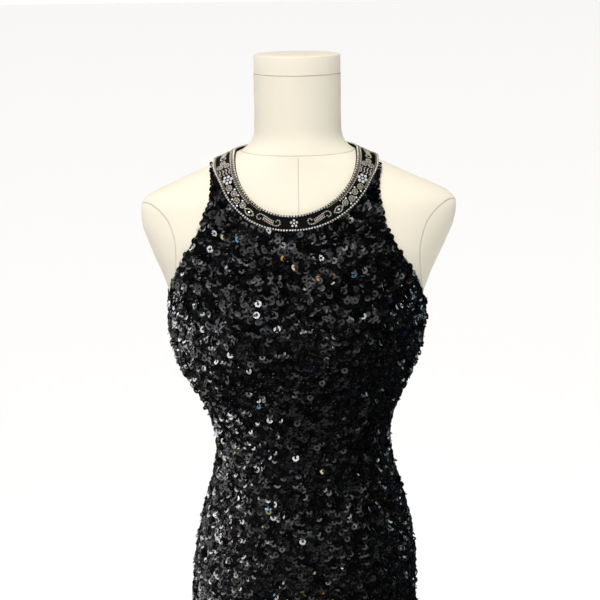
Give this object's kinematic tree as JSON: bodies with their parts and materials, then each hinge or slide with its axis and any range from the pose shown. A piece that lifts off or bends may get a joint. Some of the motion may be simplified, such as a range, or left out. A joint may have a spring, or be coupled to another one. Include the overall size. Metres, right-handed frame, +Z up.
{
  "type": "halter evening gown on a limbless dress form",
  "caption": "Full-length black sequined halter gown with a beaded neckband and a low back, worn on a covered limbless dress form on a round stand",
  "frame": {"origin": "on the floor, under the middle of the stand's base", "axes": "+Z up, -Y the front of the gown, +X the right side as a viewer facing the front sees it"},
  "size_m": [0.408, 0.3879, 1.55],
  "materials": {
    "form_cover": "matte knitted cover",
    "stand_metal": "satin",
    "sequin_cloth": "satin sequins",
    "band_cloth": "beaded",
    "button": "covered",
    "zip_coil": "woven",
    "zip_metal": "blackened"
  },
  "bodies": {
    "gown_on_form": {"form_torso": "form_cover", "form_arm_plate_left": "form_cover", "form_arm_plate_right": "form_cover", "form_neck_cap": "form_cover", "stand_flange": "stand_metal", "stand_pole": "stand_metal", "stand_base": "stand_metal", "neckband": "band_cloth", "gown_front": "sequin_cloth", "gown_back_left": "sequin_cloth", "gown_back_right": "sequin_cloth", "nape_button_upper": "button", "nape_button_lower": "button", "zip_coil": "zip_coil", "zip_slider": "zip_metal"},
    "zip_pull": {"zip_pull_tab": "zip_metal"}
  },
  "joints": [
    {"name": "pull_tab_swing", "type": "hinge", "parent": "gown_on_form", "child": "zip_pull", "pos_m": [-0.0005, 0.08528, 1.10703], "axis": [1, 0, 0], "range_deg": [0, 150]}
  ]
}
